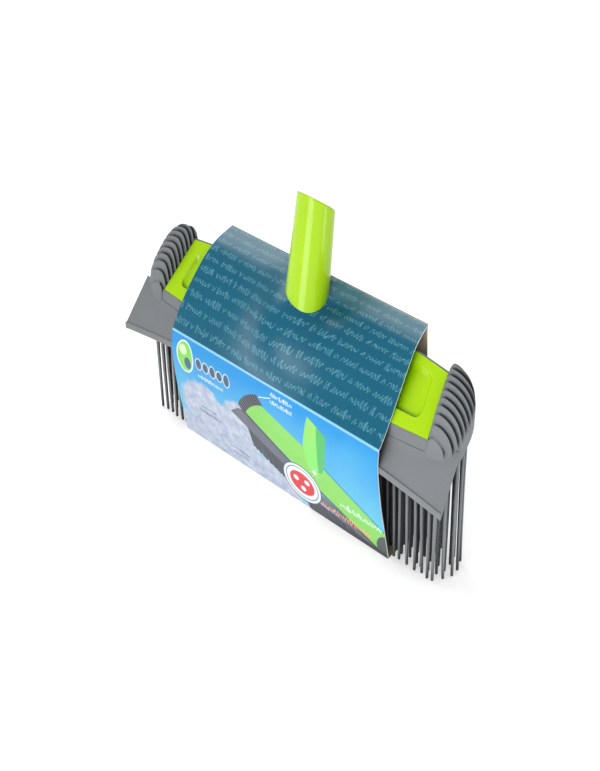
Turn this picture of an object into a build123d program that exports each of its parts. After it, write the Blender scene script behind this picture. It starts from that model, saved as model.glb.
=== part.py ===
"""Rubber broom head with a squeegee lip and a card belly band.

X runs along the head, +Y points to its back and Z is up, in millimetres.
The origin is under the middle of the head, on the surface it stands on.
The deck is tilted about X, so that its back edge is the higher one, while
the bristles and all moulded walls stay vertical.
"""
import os
from math import cos, radians, sin, tan

from build123d import *

os.makedirs("parts", exist_ok=True)

# Deck, the tilted plane that the plate lies in
deck_tilt = 52.0
deck_front_y = -12.9
deck_front_z = 116.8
plate_half_front = 131.4
plate_half_back = 123.9
plate_depth = 44.3
plate_front_bow = 5.3
plate_back_bow = 7.5
plate_thickness = 4.0
recess_depth = 1.6
recess_margin_front = 9.3
recess_margin_back = 6.0
recess_margin_end = 12.8
recess_corner = 5.0

# Rubber moulding under and around the plate
body_thickness = 11.7
shoulder_drop = 4.2
shoulder_front = 10.7
shoulder_lip = 0.4
rim_width = 0.9
body_back_y = 15.3
body_back_bow = 4.5
fit_gap = 0.05

# How far the body's ends run past the plate's ends, into the caps
body_end_top = 1.5
body_end_front = 3.0
body_end_back = 1.0
pocket_end = 2.0
lip_join_end = 1.8

# Squeegee lip along the front
lip_half_length = 160.0
lip_corner_y = -31.3
lip_middle_y = -26.2
lip_side_x = 155.0
lip_side_y = -9.4
lip_slope = 58.8
lip_root_y = -16.2
lip_root_z = 105.8
lip_thickness = 1.9
lip_join_back_y = 60.0
lip_join_bow = 0.01

# Ribbed end caps
cap_front_y = -16.2
cap_back_y = 17.2
cap_outer_x = 153.5
cap_outer_y = -3.9
cap_nose = (148.4, -13.2)
cap_tail = (147.1, 12.9)
cap_corner_share = 0.7
cap_plate_gap = 0.1
cap_crest = 9.0
cap_edge_drop = 10.0
cap_fin_pitch = 3.1
cap_fin_thickness = 1.75
cap_groove_depth = 3.2
cap_slab_length = 90.0
cap_crest_inset = 2.0
cap_crest_width = 12.0
cap_arch_out = 0.62
cap_arch_up = 0.84
cap_arch_spare = 0.5
cap_collar_drop = 5.2

# Bristles
row_count = 5
row_front_y = -14.6
row_back_y = 13.2
row_front_bow = 1.6
row_back_bow = 4.3
row_half_spans = [141.9, 144.9, 146.0, 145.0, 141.5]
row_bristles = [47, 48, 48, 48, 46]
bristle_root_radius = 1.6
bristle_tip_radius = 1.1
bristle_tip_z = 1.0
comb_strip_height = 3.0
comb_root_depth = 2.2
comb_strip_width = 3.4

# Handle socket
socket_lean = 8.0
socket_y = 9.2
socket_z = 156.3
socket_base_radius = 15.3
socket_mouth_radius = 13.3
socket_mouth_z = 228.0
socket_mouth_slope = 40.0
socket_bore_radius = 11.6
socket_floor_z = 164.0
socket_below = 60.0
socket_above = 40.0

# Card belly band
card_thickness = 0.6
card_centre_x = -1.6
card_half_length = 105.2
card_end_lean_y = 0.1156
card_end_lean_z = 0.0423
card_back_y = 28.3
card_ridge_z = 168.6
card_top_points = [(14.1, 160.4), (4.1, 149.4), (-6.4, 134.6), (-15.3, 120.6), (-22.4, 108.6)]
card_crease = (-27.8, 99.7)
card_front_points = [(-29.3, 84.0), (-27.2, 55.0), (-22.9, 26.0)]
card_bottom_y = -19.0
card_hole_gap = 0.8
card_ridge_fold = 1.6
card_top_inward = (0.75, -0.66)
card_end_spare = 5.0

# Values worked out from the ones above
slope = (0, cos(radians(deck_tilt)), sin(radians(deck_tilt)))
normal = (0, -sin(radians(deck_tilt)), cos(radians(deck_tilt)))
deck = Plane(origin=(0, deck_front_y, deck_front_z), x_dir=(1, 0, 0), z_dir=normal)
vertical_share = cos(radians(deck_tilt))
body_drop = (body_thickness - shoulder_drop) / vertical_share
plate_end_slant = (plate_half_front - plate_half_back) / (plate_depth * cos(radians(deck_tilt)))
socket_axis = (0, sin(radians(socket_lean)), cos(radians(socket_lean)))
tall = 400.0
deep = 60.0
down = (0, 0, -1)


def deck_y(along, height=0.0):
    """Y of a point given by its distance up the deck and its height above it."""
    return deck_front_y + along * slope[1] + height * normal[1]


def deck_z(y, height=0.0):
    """Z of the deck plane, raised by height along its normal, at a given y."""
    return deck_front_z + (y - deck_front_y) * tan(radians(deck_tilt)) + height / vertical_share


def along_deck(y, height):
    """Distance up the deck of the point with this y at this height."""
    return (y - deck_front_y - height * normal[1]) / slope[1]


def socket_axis_y(z):
    """Y of the socket's axis at a given z."""
    return socket_y + (z - socket_z) * tan(radians(socket_lean))


def bowed_outline(half_front, front, front_bow, half_back, back, back_bow):
    """Closed outline with bowed long edges and straight slanting ends."""
    with BuildLine() as outline:
        ThreePointArc((-half_front, front), (0, front - front_bow), (half_front, front))
        Line((half_front, front), (half_back, back))
        ThreePointArc((half_back, back), (0, back + back_bow), (-half_back, back))
        Line((-half_back, back), (-half_front, front))
    return outline.line


def cap_plan(side, inset):
    """D-shaped plan of one end cap, with its straight edge along the end of the plate."""
    def inner_x(y):
        return plate_half_front - (y - deck_front_y) * plate_end_slant + cap_plate_gap

    corner_inset = inset * cap_corner_share
    front_y = cap_front_y + inset
    back_y = cap_back_y - inset
    outer = (side * (cap_outer_x - inset), cap_outer_y)
    nose = (side * (cap_nose[0] - corner_inset), cap_nose[1] + corner_inset)
    tail = (side * (cap_tail[0] - corner_inset), cap_tail[1] - corner_inset)
    front = (side * inner_x(front_y), front_y)
    back = (side * inner_x(back_y), back_y)
    with BuildLine() as outline:
        ThreePointArc(front, nose, outer)
        ThreePointArc(outer, tail, back)
        Line(back, front)
    return outline.line


# The plastic plate, with a shallow recess inside its rim
with BuildPart() as deck_plate:
    with BuildSketch(deck):
        with BuildLine():
            add(bowed_outline(plate_half_front - fit_gap, fit_gap, plate_front_bow,
                              plate_half_back - fit_gap, plate_depth - fit_gap, plate_back_bow))
        make_face()
    extrude(amount=plate_thickness / vertical_share, dir=down)
    with BuildSketch(deck):
        with BuildLine():
            add(bowed_outline(plate_half_front - recess_margin_end, recess_margin_front,
                              plate_front_bow, plate_half_back - recess_margin_end + 1.0,
                              plate_depth - recess_margin_back, plate_back_bow))
        recess = make_face()
        fillet(recess.vertices(), recess_corner)
    extrude(amount=recess_depth / vertical_share, dir=down, mode=Mode.SUBTRACT)
    top_rim = deck_plate.faces().sort_by(Axis(deck.origin, normal))[-1]
    chamfer(top_rim.outer_wire().edges(), 0.5)
deck_plate.part.label = "deck_plate"

# The rubber moulding: a sloped shoulder and rim round the plate over a slab with vertical walls
slab_back = along_deck(body_back_y, -shoulder_drop)
with BuildPart() as rubber_body:
    with BuildSketch(deck):
        with BuildLine():
            add(bowed_outline(plate_half_front + body_end_top, -shoulder_lip, plate_front_bow,
                              plate_half_back + body_end_top, plate_depth + rim_width, plate_back_bow))
        make_face()
    with BuildSketch(deck.offset(-shoulder_drop)) as slab_outline:
        with BuildLine():
            add(bowed_outline(plate_half_front + body_end_front, -shoulder_front, plate_front_bow,
                              plate_half_back + body_end_back, slab_back, body_back_bow / slope[1]))
        make_face()
    loft(ruled=True)
    extrude(slab_outline.sketch, amount=body_drop, dir=down)
    with BuildSketch(deck):
        with BuildLine():
            add(bowed_outline(plate_half_front + pocket_end, 0.0, plate_front_bow,
                              plate_half_back + pocket_end, plate_depth, plate_back_bow))
        make_face()
    extrude(amount=plate_thickness / vertical_share, dir=down, mode=Mode.SUBTRACT)
    for side in (-1, 1):
        with BuildSketch(Plane.XY):
            with BuildLine():
                add(cap_plan(side, 0.0))
            make_face()
        extrude(amount=tall, mode=Mode.SUBTRACT)
rubber_body.part.label = "rubber_body"

# The handle socket, a tapered tube that stands on the recess floor
socket_plane = Plane(origin=(0, socket_axis_y(socket_z), socket_z), x_dir=(1, 0, 0), z_dir=socket_axis)
socket_up = (socket_mouth_z - socket_z) / cos(radians(socket_lean))
socket_taper = (socket_base_radius - socket_mouth_radius) / socket_up
with BuildPart() as handle_socket:
    with BuildSketch(socket_plane.offset(-socket_below)):
        Circle(socket_base_radius + socket_below * socket_taper)
    with BuildSketch(socket_plane.offset(socket_up + socket_above)):
        Circle(socket_mouth_radius - socket_above * socket_taper)
    loft()
    split(bisect_by=deck.offset(-recess_depth), keep=Keep.TOP)
    mouth_y = socket_axis_y(socket_mouth_z)
    mouth_normal = (0, sin(radians(socket_mouth_slope)), cos(radians(socket_mouth_slope)))
    mouth = Plane(origin=(0, mouth_y, socket_mouth_z), x_dir=(1, 0, 0), z_dir=mouth_normal)
    split(bisect_by=mouth, keep=Keep.BOTTOM)
    floor_up = (socket_floor_z - socket_z) / cos(radians(socket_lean))
    with BuildSketch(socket_plane.offset(floor_up)):
        Circle(socket_bore_radius)
    extrude(amount=socket_up + socket_above, mode=Mode.SUBTRACT)
    add(deck_plate.part, mode=Mode.SUBTRACT)
    add(rubber_body.part, mode=Mode.SUBTRACT)
handle_socket.part.label = "handle_socket"


def cap_arch(side, inset):
    """Arched section of one end cap, seen along the deck's slope."""
    crest_x = plate_half_back - cap_crest_inset
    inner_x = crest_x - cap_crest_width
    outer_x = cap_outer_x - inset + cap_arch_spare
    crest = cap_crest - inset
    bend_x = crest_x + (outer_x - crest_x) * cap_arch_out
    bend_height = (crest + cap_edge_drop) * cap_arch_up - cap_edge_drop
    with BuildLine() as outline:
        Line((side * inner_x, -deep), (side * inner_x, crest))
        Line((side * inner_x, crest), (side * crest_x, crest))
        ThreePointArc((side * crest_x, crest), (side * bend_x, bend_height),
                      (side * outer_x, -cap_edge_drop))
        Line((side * outer_x, -cap_edge_drop), (side * outer_x, -deep))
        Line((side * outer_x, -deep), (side * inner_x, -deep))
    return outline.line


section_plane = Plane(origin=deck.origin, x_dir=(1, 0, 0), z_dir=(-slope[0], -slope[1], -slope[2]))


def cap_solid(side, inset):
    """One end cap without its grooves, drawn in by inset on the outside."""
    with BuildPart(mode=Mode.PRIVATE) as cap:
        with BuildSketch(Plane.XY):
            with BuildLine():
                add(cap_plan(side, inset))
            make_face()
        extrude(amount=tall)
        split(bisect_by=deck.offset(-body_thickness), keep=Keep.TOP)
        with BuildSketch(section_plane.offset(-tall / 2)):
            with BuildLine():
                add(cap_arch(side, inset))
            make_face()
        extrude(amount=tall, mode=Mode.INTERSECT)
    return cap.part


def fin_slabs(side):
    """Thin upright slabs across the head, one for each fin, over a solid collar."""
    count = int((cap_back_y - cap_front_y) / cap_fin_pitch) + 1
    middle_y = (cap_back_y + cap_front_y) / 2
    with BuildPart(mode=Mode.PRIVATE) as slabs:
        with Locations((side * plate_half_front, middle_y, tall / 2)):
            with GridLocations(1, cap_fin_pitch, 1, count):
                Box(cap_slab_length, cap_fin_thickness, tall)
    return slabs.part


def collar_block():
    """Everything below the plane where the grooves stop."""
    with BuildPart(mode=Mode.PRIVATE) as block:
        with BuildSketch(deck.offset(-cap_collar_drop)):
            Rectangle(tall * 2, tall)
        extrude(amount=-deep)
    return block.part


def end_cap(side):
    """A ribbed end cap: fins over a smaller core, and a smooth collar below."""
    full = cap_solid(side, 0.0)
    core = cap_solid(side, cap_groove_depth)
    return core + (full & fin_slabs(side)) + (full & collar_block())


with BuildPart() as end_cap_left:
    add(end_cap(-1))
end_cap_left.part.label = "end_cap_left"

with BuildPart() as end_cap_right:
    add(end_cap(1))
end_cap_right.part.label = "end_cap_right"

# The squeegee lip, a flared sheet that wraps the front and runs past both ends
lip_normal = (0, -sin(radians(lip_slope)), cos(radians(lip_slope)))
lip_plane = Plane(origin=(0, lip_root_y, lip_root_z), x_dir=(1, 0, 0), z_dir=lip_normal)
with BuildPart() as squeegee_lip:
    with BuildSketch(Plane.XY):
        with BuildLine():
            ThreePointArc((-lip_half_length, lip_corner_y), (0, lip_middle_y),
                          (lip_half_length, lip_corner_y))
            Line((lip_half_length, lip_corner_y), (lip_side_x, lip_side_y))
            Line((lip_side_x, lip_side_y), (-lip_side_x, lip_side_y))
            Line((-lip_side_x, lip_side_y), (-lip_half_length, lip_corner_y))
        make_face()
    extrude(amount=tall)
    split(bisect_by=lip_plane, keep=Keep.BOTTOM)
    split(bisect_by=lip_plane.offset(-lip_thickness), keep=Keep.TOP)
    with BuildSketch(Plane.XY):
        with BuildLine():
            add(bowed_outline(plate_half_front + lip_join_end, deck_y(-shoulder_front, -shoulder_drop),
                              plate_front_bow * slope[1], plate_half_back, lip_join_back_y,
                              lip_join_bow))
        make_face()
    extrude(amount=tall, mode=Mode.SUBTRACT)
    for side in (-1, 1):
        with BuildSketch(Plane.XY):
            with BuildLine():
                add(cap_plan(side, 0.0))
            make_face()
        extrude(amount=tall, mode=Mode.SUBTRACT)
    add(rubber_body.part, mode=Mode.SUBTRACT)
squeegee_lip.part.label = "squeegee_lip"


def row_y(row, x):
    """Y of a bristle row at x: the rows fan from the front bow to the back bow."""
    share = row / (row_count - 1)
    end_y = row_front_y + (row_back_y - row_front_y) * share
    bow = -row_front_bow + (row_front_bow + row_back_bow) * share
    return end_y + bow * (1 - (x / row_half_spans[row]) ** 2)


def bristle_row(row):
    """A comb: a thin strip against the slab's underside with tapered bristles below it."""
    half = row_half_spans[row]
    strip = half + bristle_root_radius
    front_y = row_y(row, half) - comb_strip_width / 2
    back_y = row_y(row, half) + comb_strip_width / 2
    bow = row_y(row, 0) - row_y(row, half)
    with BuildPart(mode=Mode.PRIVATE) as comb:
        with BuildSketch(Plane.XY):
            with BuildLine():
                ThreePointArc((-strip, front_y), (0, front_y + bow), (strip, front_y))
                Line((strip, front_y), (strip, back_y))
                ThreePointArc((strip, back_y), (0, back_y + bow), (-strip, back_y))
                Line((-strip, back_y), (-strip, front_y))
            make_face()
        extrude(amount=tall)
        split(bisect_by=deck.offset(-body_thickness), keep=Keep.BOTTOM)
        split(bisect_by=deck.offset(-body_thickness - comb_strip_height), keep=Keep.TOP)
        step = 2 * half / (row_bristles[row] - 1)
        for number in range(row_bristles[row]):
            x = -half + number * step
            y = row_y(row, x)
            root_z = deck_z(y, -body_thickness) - comb_root_depth
            length = root_z - bristle_tip_z
            with Locations((x, y, bristle_tip_z + length / 2)):
                Cone(bristle_tip_radius, bristle_root_radius - fit_gap, length)
    return comb.part


for row in range(row_count):
    comb = bristle_row(row)
    comb.label = f"bristle_row_{row + 1}"
    export_step(comb, f"parts/{comb.label}.step")


def card_profile(inset):
    """Closed section of the card band, seen from the end and drawn in by inset."""
    ridge = (card_back_y - inset, card_ridge_z - inset * card_ridge_fold)
    crease = (card_crease[0] + inset, card_crease[1])
    inward = (inset * card_top_inward[0], inset * card_top_inward[1])
    top = [(y + inward[0], z + inward[1]) for y, z in card_top_points]
    front = [(y + inset, z) for y, z in card_front_points]
    with BuildLine() as outline:
        Spline(ridge, *top, crease)
        Spline(crease, *front, (card_bottom_y + inset, inset))
        Line((card_bottom_y + inset, inset), (card_back_y - inset, inset))
        Line((card_back_y - inset, inset), ridge)
    return outline.line


# The card belly band, closed round the head, with a hole that the socket stands in
with BuildPart() as card_sleeve:
    with BuildSketch(Plane.YZ.offset(card_centre_x)):
        with BuildLine():
            add(card_profile(0.0))
        make_face()
        with BuildLine():
            add(card_profile(card_thickness))
        make_face(mode=Mode.SUBTRACT)
    extrude(amount=card_half_length + card_end_spare, both=True)
    for side in (-1, 1):
        end = Plane(origin=(card_centre_x + side * card_half_length, 0, 0),
                    z_dir=(side, card_end_lean_y, card_end_lean_z))
        split(bisect_by=end, keep=Keep.BOTTOM)
    with BuildSketch(socket_plane.offset(-socket_below)):
        Circle(socket_base_radius + socket_below * socket_taper + card_hole_gap)
    with BuildSketch(socket_plane.offset(socket_up)):
        Circle(socket_mouth_radius + card_hole_gap)
    loft(mode=Mode.SUBTRACT)
card_sleeve.part.label = "card_sleeve"

for piece in (deck_plate, handle_socket, rubber_body, end_cap_left, end_cap_right,
              squeegee_lip, card_sleeve):
    export_step(piece.part, f"parts/{piece.part.label}.step")
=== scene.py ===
"""A rubber broom head in its printed card band, on a white studio floor.

Lengths are in millimetres until mesh_piece turns them into metres. The frame is
the CAD model's: X along the head, +Y to its back, Z up, the floor at zero.
"""
import random
from math import copysign, cos, exp, floor, hypot, pi, radians, sin, sqrt, tan

import bpy
from mathutils import Matrix, Vector


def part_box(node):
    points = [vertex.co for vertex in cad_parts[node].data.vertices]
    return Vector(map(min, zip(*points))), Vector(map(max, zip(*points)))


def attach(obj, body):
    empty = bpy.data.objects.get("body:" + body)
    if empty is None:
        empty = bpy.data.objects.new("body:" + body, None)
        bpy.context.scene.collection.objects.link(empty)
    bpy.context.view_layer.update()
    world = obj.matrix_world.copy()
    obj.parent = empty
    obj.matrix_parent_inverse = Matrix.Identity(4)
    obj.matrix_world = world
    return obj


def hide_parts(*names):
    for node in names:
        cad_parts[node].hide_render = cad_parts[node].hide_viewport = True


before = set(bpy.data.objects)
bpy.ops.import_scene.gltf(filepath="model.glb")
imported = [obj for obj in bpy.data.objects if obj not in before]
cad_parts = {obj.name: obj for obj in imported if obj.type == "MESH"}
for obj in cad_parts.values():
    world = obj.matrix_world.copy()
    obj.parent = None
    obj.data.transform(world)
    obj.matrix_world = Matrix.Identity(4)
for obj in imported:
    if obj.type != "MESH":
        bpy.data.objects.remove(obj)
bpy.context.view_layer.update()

MM = 0.001
BODY = "root"


def lowest(node):
    """The lowest corner of a CAD node, in millimetres."""
    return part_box(node)[0] / MM


def highest(node):
    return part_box(node)[1] / MM


# The deck: a plane tilted about X, given by its front edge
TILT = radians(52.0)
DECK_Y = -12.9
DECK_Z = 116.8
PLATE_HALF_FRONT = highest("deck_plate").x
PLATE_HALF_BACK = 123.9
PLATE_DEPTH = 44.3
FRONT_BOW = 5.3
BACK_BOW = 7.5
PLATE_THICKNESS = 4.0
SLAB_THICKNESS = 11.7
SHOULDER_FRONT = 10.7
SHOULDER_DROP = 4.2
RIM_WIDTH = 0.9
BODY_BACK_Y = 15.3
BODY_BACK_BOW = 4.5
BODY_OVERLAP = 0.6


def lerp(a, b, t):
    return a + (b - a) * t


def smooth(edge0, edge1, x):
    """A soft step from 0 at edge0 to 1 at edge1, which may be the lower of the two."""
    t = min(1.0, max(0.0, (x - edge0) / (edge1 - edge0)))
    return t * t * (3 - 2 * t)


def deck_point(x, along, height=0.0):
    """The point this far up the deck's slope and this high above the deck."""
    return Vector((x, DECK_Y + along * cos(TILT) - height * sin(TILT),
                   DECK_Z + along * sin(TILT) + height * cos(TILT)))


def deck_z(y, height=0.0):
    """Z of the deck at y, raised by a height measured square to it."""
    return DECK_Z + (y - DECK_Y) * tan(TILT) + height / cos(TILT)


def end_x(y):
    """Half-length of the plate at a given y: its ends slant inward to the back."""
    slant = (PLATE_HALF_FRONT - PLATE_HALF_BACK) / (PLATE_DEPTH * cos(TILT))
    return PLATE_HALF_FRONT - (y - DECK_Y) * slant


# ---------------------------------------------------------------- meshes

def mesh_piece(name, points, faces, materials, replaced, sharp, face_material=None, uvs=None):
    """Makes one piece from points in millimetres and rides it on the head."""
    mesh = bpy.data.meshes.new(name)
    mesh.from_pydata([Vector(p) * MM for p in points], [], faces)
    mesh.validate()
    for material in materials:
        mesh.materials.append(material)
    if face_material:
        for polygon, index in zip(mesh.polygons, face_material):
            polygon.material_index = index
    if uvs:
        layer = mesh.uv_layers.new(name="print")
        for loop in mesh.loops:
            layer.data[loop.index].uv = uvs[loop.vertex_index]
    mesh.shade_smooth()
    mesh.set_sharp_from_angle(angle=radians(sharp))
    piece = bpy.data.objects.new(name, mesh)
    bpy.context.scene.collection.objects.link(piece)
    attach(piece, BODY)
    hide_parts(*replaced)
    return piece


def grid_faces(rows, columns, start=0, wrap=False, flip=False):
    """Quads over a grid of points stored row by row, each row closed on itself if wrap is set."""
    faces = []
    for i in range(rows - 1):
        for j in range(columns if wrap else columns - 1):
            a = start + i * columns + j
            b = start + i * columns + (j + 1) % columns
            c = b + columns
            d = a + columns
            faces.append((d, c, b, a) if flip else (a, b, c, d))
    return faces


def shell_faces(rows, columns):
    """Closes a top grid and a bottom grid of the same size, stored one after the other."""
    count = rows * columns
    faces = grid_faces(rows, columns) + grid_faces(rows, columns, count, flip=True)
    border = list(range(columns))
    border += [i * columns + columns - 1 for i in range(1, rows)]
    border += [(rows - 1) * columns + j for j in range(columns - 2, -1, -1)]
    border += [i * columns for i in range(rows - 2, 0, -1)]
    for a, b in zip(border, border[1:] + border[:1]):
        faces.append((b, a, a + count, b + count))
    return faces


def tube_faces(rings, sides):
    """Quads between rings, closed by one flat face at each end."""
    faces = grid_faces(rings, sides, wrap=True)
    faces.append(tuple(range(sides - 1, -1, -1)))
    faces.append(tuple((rings - 1) * sides + j for j in range(sides)))
    return faces


def rounded_path(corners):
    """Points along a closed outline of (a, b, radius) corners, with every corner rounded."""
    steps = 4
    path = []
    for index, (a, b, radius) in enumerate(corners):
        here = Vector((a, b))
        before = Vector(corners[index - 1][:2])
        after = Vector(corners[(index + 1) % len(corners)][:2])
        start = here + (before - here).normalized() * radius
        stop = here + (after - here).normalized() * radius
        for step in range(steps + 1):
            t = step / steps
            path.append(start.lerp(here, t).lerp(here.lerp(stop, t), t))
    return path


def spread(stops, spacing):
    """Values from the first stop to the last, with a finer or coarser spacing in each span."""
    values = [stops[0]]
    for low, high, step in zip(stops, stops[1:], spacing):
        count = max(1, round((high - low) / step))
        values += [lerp(low, high, (i + 1) / count) for i in range(count)]
    return values


# ---------------------------------------------------------------- shader fields

class Field:
    """A value that a material works out at each point, written as arithmetic."""

    def __init__(self, tree, socket):
        self.tree = tree
        self.socket = socket

    def math(self, operation, *others, clamp=False):
        node = self.tree.nodes.new("ShaderNodeMath")
        node.operation = operation
        node.use_clamp = clamp
        self.tree.links.new(self.socket, node.inputs[0])
        for index, other in enumerate(others, start=1):
            if isinstance(other, Field):
                self.tree.links.new(other.socket, node.inputs[index])
            else:
                node.inputs[index].default_value = other
        return Field(self.tree, node.outputs[0])

    def __add__(self, other):
        return self.math("ADD", other)

    def __sub__(self, other):
        return self.math("SUBTRACT", other)

    def __mul__(self, other):
        return self.math("MULTIPLY", other)

    def __truediv__(self, other):
        return self.math("DIVIDE", other)

    def abs(self):
        return self.math("ABSOLUTE")

    def less(self, edge, soft):
        """1 where the field is below edge, fading to 0 over soft."""
        return ((self - edge) / -soft + 0.5).math("ADD", 0.0, clamp=True)

    def more(self, edge, soft):
        return ((self - edge) / soft + 0.5).math("ADD", 0.0, clamp=True)

    def high(self, other):
        return self.math("MAXIMUM", other)


# Shade in crevices: the open share that stays put when contrast changes, and the level it gets
OPEN_PIVOT = 0.8
OPEN_LEVEL = 0.85


class Material:
    """A node material built from fields, starting from a Principled shader."""

    def __init__(self, name):
        self.material = bpy.data.materials.new(name)
        self.material.use_nodes = True
        self.tree = self.material.node_tree
        self.shader = self.tree.nodes["Principled BSDF"]

    def set(self, **values):
        for name, value in values.items():
            self.shader.inputs[name.replace("_", " ")].default_value = value

    def link(self, field, name):
        self.tree.links.new(field.socket, self.shader.inputs[name])

    def object_point(self):
        node = self.tree.nodes.new("ShaderNodeTexCoord")
        return node.outputs["Object"]

    def uv(self):
        """The print's own coordinates: millimetres along the band, and round it from the crease."""
        node = self.tree.nodes.new("ShaderNodeUVMap")
        node.uv_map = "print"
        split = self.tree.nodes.new("ShaderNodeSeparateXYZ")
        self.tree.links.new(node.outputs[0], split.inputs[0])
        along, round_it = (Field(self.tree, split.outputs[index]) for index in range(2))
        return along, round_it, node.outputs[0]

    def noise(self, vector, scale, detail=2.0, roughness=0.5):
        node = self.tree.nodes.new("ShaderNodeTexNoise")
        node.inputs["Scale"].default_value = scale
        node.inputs["Detail"].default_value = detail
        node.inputs["Roughness"].default_value = roughness
        self.tree.links.new(vector, node.inputs["Vector"])
        return Field(self.tree, node.outputs[0])

    def white(self, *fields):
        """A random value for each whole combination of the fields."""
        node = self.tree.nodes.new("ShaderNodeTexWhiteNoise")
        node.noise_dimensions = "3D"
        join = self.tree.nodes.new("ShaderNodeCombineXYZ")
        for index, field in enumerate(fields):
            self.tree.links.new(field.socket, join.inputs[index])
        self.tree.links.new(join.outputs[0], node.inputs["Vector"])
        return Field(self.tree, node.outputs["Value"])

    def openness(self, reach_mm, contrast):
        """1 out in the open and lower down in crevices, where painted shade gathers."""
        node = self.tree.nodes.new("ShaderNodeAmbientOcclusion")
        node.samples = 8
        node.inputs["Distance"].default_value = reach_mm * MM
        open_share = Field(self.tree, node.outputs["AO"])
        lift = OPEN_LEVEL - OPEN_PIVOT * contrast
        return open_share.math("MULTIPLY_ADD", contrast, lift, clamp=True)

    def combine(self, x, y):
        join = self.tree.nodes.new("ShaderNodeCombineXYZ")
        for index, field in enumerate((x, y)):
            self.tree.links.new(field.socket, join.inputs[index])
        return join.outputs[0]

    def mix(self, base, over, mask):
        """Lays one colour over another where mask is 1. Colours are tuples or fields."""
        node = self.tree.nodes.new("ShaderNodeMix")
        node.data_type = "RGBA"
        self.tree.links.new(mask.socket, node.inputs["Factor"])
        for socket, colour in ((node.inputs[6], base), (node.inputs[7], over)):
            if isinstance(colour, Field):
                self.tree.links.new(colour.socket, socket)
            else:
                socket.default_value = (*colour, 1.0)
        return Field(self.tree, node.outputs[2])

    def bump(self, height, strength, distance_mm):
        node = self.tree.nodes.new("ShaderNodeBump")
        node.inputs["Strength"].default_value = strength
        node.inputs["Distance"].default_value = distance_mm * MM
        self.tree.links.new(height.socket, node.inputs["Height"])
        self.tree.links.new(node.outputs[0], self.shader.inputs["Normal"])


def lime_plastic():
    """Glossy lime moulding: slight flow marks, a polished skin and painted shade in crevices and close to
    other parts.
    """
    made = Material("lime_plastic")
    place = made.object_point()
    flow = made.noise(place, 18.0, 3.0)
    fine = made.noise(place, 900.0, 2.0)
    skin = made.mix((0.335, 0.585, 0.0), (0.4, 0.665, 0.005), flow)
    # Painted shade: the skin turns deep green in crevices and close to other parts.
    made.link(made.mix((0.11, 0.34, 0.0), skin, made.openness(16.0, 1.3)), "Base Color")
    made.link(fine * 0.05 + 0.13, "Roughness")
    made.set(Specular_IOR_Level=0.4)
    made.bump(made.noise(place, 120.0, 2.0), 0.04, 0.06)
    return made.material


def grey_rubber(name, crevice, contrast):
    """Satin grey rubber: fine mould grain, cloudy tone and shade gathered in the crevices."""
    made = Material(name)
    place = made.object_point()
    cloud = made.noise(place, 40.0, 4.0)
    grain = made.noise(place, 2600.0, 3.0, 0.6)
    tone = made.mix((0.162, 0.174, 0.184), (0.187, 0.2, 0.212), cloud)
    shaded = made.mix((0.014, 0.016, 0.018), tone, made.openness(crevice, contrast))
    made.link(shaded, "Base Color")
    made.link(grain * 0.12 + 0.46, "Roughness")
    made.set(Specular_IOR_Level=0.35)
    made.bump(grain, 0.12, 0.05)
    return made.material


def card_inside():
    """The uncoated back of the card, taupe grey with paper fibre."""
    made = Material("card_inside")
    place = made.object_point()
    fibre = made.noise(place, 700.0, 6.0, 0.7)
    made.link(made.mix((0.4, 0.35, 0.24), (0.52, 0.46, 0.34), fibre), "Base Color")
    made.link(fibre * 0.1 + 0.75, "Roughness")
    made.bump(fibre, 0.25, 0.06)
    return made.material


def card_core():
    """The white pulp that shows on the card's cut edges."""
    made = Material("card_core")
    fibre = made.noise(made.object_point(), 1500.0, 4.0)
    made.link(made.mix((0.84, 0.86, 0.84), (0.95, 0.96, 0.94), fibre), "Base Color")
    made.set(Roughness=0.85)
    return made.material


def tilted(u, v, centre, degrees):
    """Coordinates about a centre, turned so that the first runs along the given angle."""
    angle = radians(degrees)
    a = u - centre[0]
    b = v - centre[1]
    return a * cos(angle) + b * sin(angle), b * cos(angle) - a * sin(angle)


def bar(u, v, centre, size, degrees=0.0, soft=0.4):
    """A rectangle's mask."""
    a, b = tilted(u, v, centre, degrees)
    return a.abs().less(size[0] / 2, soft) * b.abs().less(size[1] / 2, soft)


def disc(u, v, centre, size, degrees=0.0, soft=0.05):
    """An ellipse's mask."""
    a, b = tilted(u, v, centre, degrees)
    a = a / (size[0] / 2)
    b = b / (size[1] / 2)
    return (a * a + b * b).math("SQRT").less(1.0, soft)


# The scribbled rows: their pitch, the phrase they repeat, and its words as (middle, length)
ROW_PITCH = 11.0
PHRASE_LENGTH = 40.8
PHRASE_WORDS = ((9.0, 16.5), (21.5, 3.4), (32.0, 13.4))
STROKE_PITCH = 2.7
STROKE_WIDTH = 0.3
TALL_STROKES = 0.7


def scribble(made, along, inside, row):
    """A wavy pen line that looks like writing from afar but spells nothing."""
    wander = made.noise(made.combine(along * 0.3, row), 1.0, 1.0) * 5.0
    path = along + wander
    cell = (path / STROKE_PITCH).math("FLOOR")
    chance = made.white(cell, row, row * 0.5)
    turn = 2 * pi / STROKE_PITCH
    height = chance * 1.3 + 1.0
    wave = (path * turn).math("SINE") * height
    steep = (path * turn).math("COSINE") * height * turn
    line = (inside - wave).abs() / (steep * steep + 1.0).math("SQRT")
    within = (path - cell * STROKE_PITCH - STROKE_PITCH / 2).abs()
    tall = within.less(STROKE_WIDTH, 0.3) * (inside - 1.0).abs().less(2.6, 0.5)
    tall = tall * chance.more(TALL_STROKES, 0.01)
    return line.less(STROKE_WIDTH, 0.35).high(tall)


# A painted sheen along the ridge, paler grey-teal over the print: where it starts and how wide it is
SHEEN_START = 95.0
SHEEN_WIDTH = 26.0


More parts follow.
